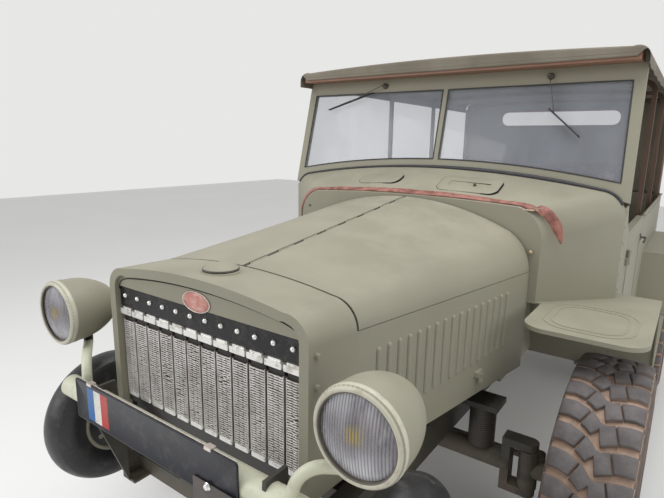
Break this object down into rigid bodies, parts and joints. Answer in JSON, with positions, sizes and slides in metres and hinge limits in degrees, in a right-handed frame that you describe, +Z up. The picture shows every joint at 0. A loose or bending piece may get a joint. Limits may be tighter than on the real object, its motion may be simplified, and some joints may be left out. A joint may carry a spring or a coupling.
{
  "type": "light four-wheel-drive army reconnaissance car",
  "caption": "Light open-sided four-wheel-drive army car with a canvas top, open finned radiator, hinged hood, small front rollers and block-tread tyres.",
  "frame": {"origin": "on the ground, under the middle of the car's length and width", "axes": "+X to the car's own left, front at -Y, +Y to the back along the car's length, +Z up"},
  "size_m": [1.917, 4.215, 1.9547],
  "materials": {
    "body_paint": "matt olive drab paint, worn at the edges",
    "frame_paint": "dusty dark olive paint",
    "bumper_paint": "pale green-grey paint",
    "radiator_metal": "grey-beige cast fins",
    "black_paint": "black paint",
    "tyre_rubber": "worn rubber with dust",
    "roller_rubber": "smooth black rubber",
    "glass": "flat clear glass",
    "lens_glass": "fluted glass",
    "canvas": "waxed brown-olive canvas",
    "seat_leather": "brown leathercloth",
    "strap_leather": "reddish brown leather",
    "bow_wood": "varnished ash",
    "wheel_black": "black moulded rim"
  },
  "bodies": {
    "body": {"radiator_shell": "body_paint", "hood_hinge": "body_paint", "hood_side_left": "body_paint", "hood_side_right": "body_paint", "cowl": "body_paint", "dashboard": "body_paint", "floor_pan": "body_paint", "mudguards_front": "body_paint", "mudguards_rear": "body_paint", "steps": "body_paint", "body_side_left": "body_paint", "body_side_right": "body_paint", "rear_panel": "body_paint", "windscreen_frame": "body_paint", "headlamps": "body_paint", "spare_wheel": "body_paint", "seat_frames": "body_paint", "chassis_frame": "frame_paint", "power_unit": "frame_paint", "front_axle": "frame_paint", "rear_axle": "frame_paint", "drive_shafts": "frame_paint", "springs": "frame_paint", "roller_brackets": "frame_paint", "bumper_plates": "frame_paint", "tow_hook": "frame_paint", "bumper": "bumper_paint", "radiator_elements": "radiator_metal", "radiator_tanks": "radiator_metal", "radiator_band": "black_paint", "number_plate": "black_paint", "wipers": "black_paint", "tail_lamps": "black_paint", "spare_tyre": "tyre_rubber", "windscreen_glass": "glass", "lamp_lenses": "lens_glass", "canvas_top": "canvas", "top_bows": "bow_wood", "seat_cushions": "seat_leather", "leather_strap": "strap_leather"},
    "knuckle_left": {"knuckle_left": "frame_paint"},
    "knuckle_right": {"knuckle_right": "frame_paint"},
    "tie_rod": {"tie_rod": "frame_paint"},
    "wheel_front_left": {"tyre_front_left": "tyre_rubber", "wheel_front_left": "body_paint"},
    "wheel_front_right": {"tyre_front_right": "tyre_rubber", "wheel_front_right": "body_paint"},
    "wheel_rear_left": {"tyre_rear_left": "tyre_rubber", "wheel_rear_left": "body_paint"},
    "wheel_rear_right": {"tyre_rear_right": "tyre_rubber", "wheel_rear_right": "body_paint"},
    "roller_left": {"roller_left": "roller_rubber"},
    "roller_right": {"roller_right": "roller_rubber"},
    "hood_left": {"hood_left": "body_paint"},
    "hood_right": {"hood_right": "body_paint"},
    "door_left": {"door_left": "body_paint"},
    "door_right": {"door_right": "body_paint"},
    "steering_wheel": {"steering_wheel": "wheel_black"}
  },
  "joints": [
    {"name": "steer_left", "type": "hinge", "parent": "body", "child": "knuckle_left", "pos_m": [0.62, -1.0165, 0.455], "axis": [0, 0, 1], "range_deg": [-28, 28]},
    {"name": "steer_right", "type": "hinge", "parent": "body", "child": "knuckle_right", "pos_m": [-0.62, -1.0165, 0.455], "axis": [0, 0, 1], "range_deg": [-28, 28]},
    {"name": "tie_rod_turn", "type": "hinge", "parent": "knuckle_left", "child": "tie_rod", "pos_m": [0.62, -0.8165, 0.37], "axis": [0, 0, 1], "range_deg": [-28, 28]},
    {"name": "steering_wheel_turn", "type": "hinge", "parent": "body", "child": "steering_wheel", "pos_m": [0.38, -0.2565, 1.245], "axis": [0, 0.8219, 0.5696], "range_deg": [-336, 336]},
    {"name": "spin_front_left", "type": "hinge", "parent": "knuckle_left", "child": "wheel_front_left", "pos_m": [0.842, -1.0165, 0.455], "axis": [1, 0, 0], "continuous": true},
    {"name": "spin_front_right", "type": "hinge", "parent": "knuckle_right", "child": "wheel_front_right", "pos_m": [-0.842, -1.0165, 0.455], "axis": [1, 0, 0], "continuous": true},
    {"name": "spin_rear_left", "type": "hinge", "parent": "body", "child": "wheel_rear_left", "pos_m": [0.842, 1.1235, 0.455], "axis": [1, 0, 0], "continuous": true},
    {"name": "spin_rear_right", "type": "hinge", "parent": "body", "child": "wheel_rear_right", "pos_m": [-0.842, 1.1235, 0.455], "axis": [1, 0, 0], "continuous": true},
    {"name": "spin_roller_left", "type": "hinge", "parent": "body", "child": "roller_left", "pos_m": [0.555, -1.8905, 0.663], "axis": [1, 0, 0], "continuous": true},
    {"name": "spin_roller_right", "type": "hinge", "parent": "body", "child": "roller_right", "pos_m": [-0.555, -1.8905, 0.663], "axis": [1, 0, 0], "continuous": true},
    {"name": "hood_left_lift", "type": "hinge", "parent": "body", "child": "hood_left", "pos_m": [0, -1.7885, 1.248], "axis": [0, -0.9917, -0.1288], "range_deg": [0, 60]},
    {"name": "hood_right_lift", "type": "hinge", "parent": "body", "child": "hood_right", "pos_m": [0, -1.7885, 1.248], "axis": [0, 0.9917, 0.1288], "range_deg": [0, 60]},
    {"name": "door_left_swing", "type": "hinge", "parent": "body", "child": "door_left", "pos_m": [0.79, -0.3865, 0.975], "axis": [0, 0, -1], "range_deg": [0, 70]},
    {"name": "door_right_swing", "type": "hinge", "parent": "body", "child": "door_right", "pos_m": [-0.79, -0.3865, 0.975], "axis": [0, 0, 1], "range_deg": [0, 70]}
  ],
  "couplings": [
    {"joint": "steer_right", "follows": "steer_left", "ratio": 1},
    {"joint": "tie_rod_turn", "follows": "steer_left", "ratio": -1},
    {"joint": "steering_wheel_turn", "follows": "steer_left", "ratio": 12}
  ]
}
